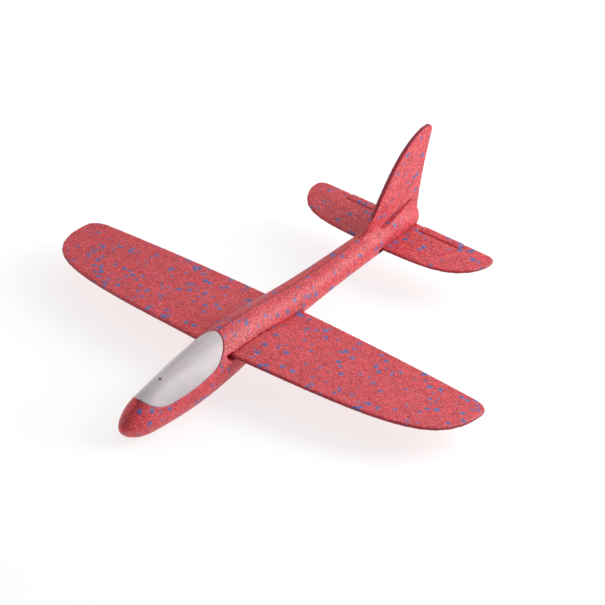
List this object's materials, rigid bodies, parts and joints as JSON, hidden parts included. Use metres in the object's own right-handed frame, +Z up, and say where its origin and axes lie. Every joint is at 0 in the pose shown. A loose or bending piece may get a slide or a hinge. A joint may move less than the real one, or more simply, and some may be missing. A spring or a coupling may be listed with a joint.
{
  "type": "foam hand-launch glider",
  "caption": "Foam hand-launch glider with a plug-in wing and tailplane, hinged trim flaps and a battery light under a milky canopy.",
  "frame": {"origin": "centre of the bounding box in X and Y, on the plane that the belly plate rests on", "axes": "+Z up, nose along -Y, port wing along +X"},
  "size_m": [0.48, 0.48, 0.1468],
  "materials": {
    "foam": "matte",
    "canopy": "satin",
    "screw": "satin",
    "tray": "matte",
    "board": "satin",
    "led": "gloss",
    "cell": "satin",
    "contact": "satin",
    "plate": "satin",
    "switch": "matte",
    "wire_red": "matte",
    "wire_black": "matte",
    "weight": "matte"
  },
  "bodies": {
    "airframe": {"fuselage": "foam", "canopy": "canopy", "canopy_screw": "screw", "light_tray": "tray", "led_board": "board", "led_front": "led", "led_middle": "led", "led_rear": "led", "cell_front": "cell", "cell_middle": "cell", "cell_rear": "cell", "contact_negative": "contact", "contact_positive": "contact", "belly_plate": "plate", "switch_body": "switch", "switch_wire_red": "wire_red", "switch_wire_black": "wire_black", "nose_weight": "weight"},
    "wing": {"main_wing": "foam"},
    "tail": {"tailplane": "foam"},
    "flap_port": {"elevator_port": "foam"},
    "flap_starboard": {"elevator_starboard": "foam"},
    "button": {"switch_button": "switch"}
  },
  "joints": [
    {"name": "wing_slide", "type": "slide", "parent": "airframe", "child": "wing", "axis": [1, 0, 0], "range_m": [-0.012, 0.012]},
    {"name": "tail_slide", "type": "slide", "parent": "airframe", "child": "tail", "axis": [1, 0, 0], "range_m": [-0.007, 0.007]},
    {"name": "flap_port_hinge", "type": "hinge", "parent": "tail", "child": "flap_port", "pos_m": [0.0445, 0.20848, 0.04279], "axis": [1, 0, 0], "range_deg": [-25, 25]},
    {"name": "flap_starboard_hinge", "type": "hinge", "parent": "tail", "child": "flap_starboard", "pos_m": [-0.0445, 0.20848, 0.04279], "axis": [1, 0, 0], "range_deg": [-25, 25]},
    {"name": "switch_press", "type": "slide", "parent": "airframe", "child": "button", "axis": [0, 0, 1], "range_m": [0, 0.0012], "stiffness_N_per_m": 400, "springref_m": -0.0005}
  ]
}
